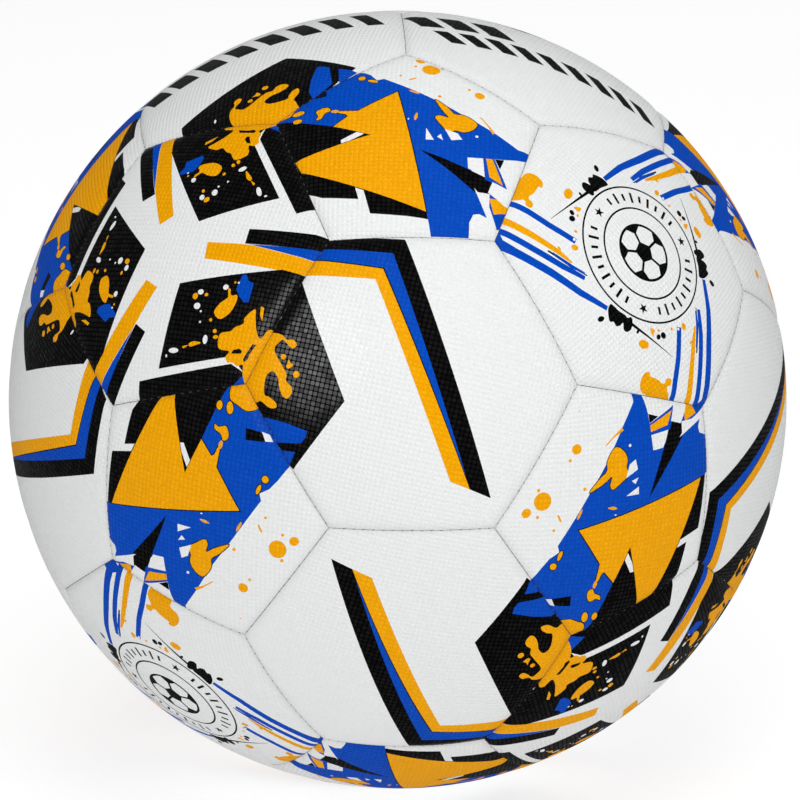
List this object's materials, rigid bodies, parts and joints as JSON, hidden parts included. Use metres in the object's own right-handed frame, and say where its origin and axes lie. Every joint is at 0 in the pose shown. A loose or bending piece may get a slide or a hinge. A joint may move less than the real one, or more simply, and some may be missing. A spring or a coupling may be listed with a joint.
{
  "type": "futsal ball",
  "caption": "Sewn low-bounce futsal ball: six-sided and five-sided printed panels over a textile carcass, with a rubber bladder, soft filler and needle valve.",
  "frame": {"origin": "centre of the ball", "axes": "+X, +Y and +Z each run from the centre through the middle of a seam between two six-sided panels. The valve is at the back, on the +Y side, 21 degrees below level, in the YZ plane. The filler rests at -Z."},
  "size_m": [0.2, 0.2, 0.2],
  "materials": {
    "cover_white": "embossed polyurethane, satin, printed",
    "cover_blue": "embossed polyurethane, satin, printed",
    "cover_black": "embossed polyurethane, satin, printed",
    "thread": "waxed polyester, twisted",
    "textile": "woven polyester-cotton, latex coated",
    "butyl": "moulded, matte",
    "valve_rubber": "moulded, satin",
    "core_rubber": "silicone-greased, satin",
    "foam": "soft open foam"
  },
  "bodies": {
    "root": {"hex_panel_chevron_01": "cover_white", "hex_panel_chevron_02": "cover_white", "hex_panel_chevron_03": "cover_white", "hex_panel_chevron_04": "cover_white", "hex_panel_chevron_05": "cover_white", "hex_panel_chevron_06": "cover_white", "hex_panel_chevron_07": "cover_white", "hex_panel_chevron_08": "cover_white", "hex_panel_chevron_09": "cover_white", "hex_panel_chevron_10": "cover_white", "hex_panel_chevron_11": "cover_white", "hex_panel_valve": "cover_white", "hex_panel_ring_01": "cover_white", "hex_panel_ring_02": "cover_white", "hex_panel_ring_03": "cover_white", "hex_panel_ring_04": "cover_white", "hex_panel_block_01": "cover_black", "hex_panel_block_02": "cover_black", "hex_panel_block_03": "cover_black", "hex_panel_block_04": "cover_black", "pent_panel_star_01": "cover_blue", "pent_panel_star_02": "cover_blue", "pent_panel_star_03": "cover_blue", "pent_panel_star_04": "cover_blue", "pent_panel_star_05": "cover_blue", "pent_panel_star_06": "cover_blue", "pent_panel_star_07": "cover_blue", "pent_panel_star_08": "cover_blue", "pent_panel_star_09": "cover_blue", "pent_panel_star_10": "cover_blue", "pent_panel_star_11": "cover_blue", "pent_panel_star_12": "cover_blue", "seam_thread": "thread", "textile_carcass": "textile", "bladder": "butyl", "valve_body": "valve_rubber", "valve_core": "core_rubber", "valve_patch": "butyl", "balance_patch": "butyl", "bounce_filler": "foam"}
  },
  "joints": []
}
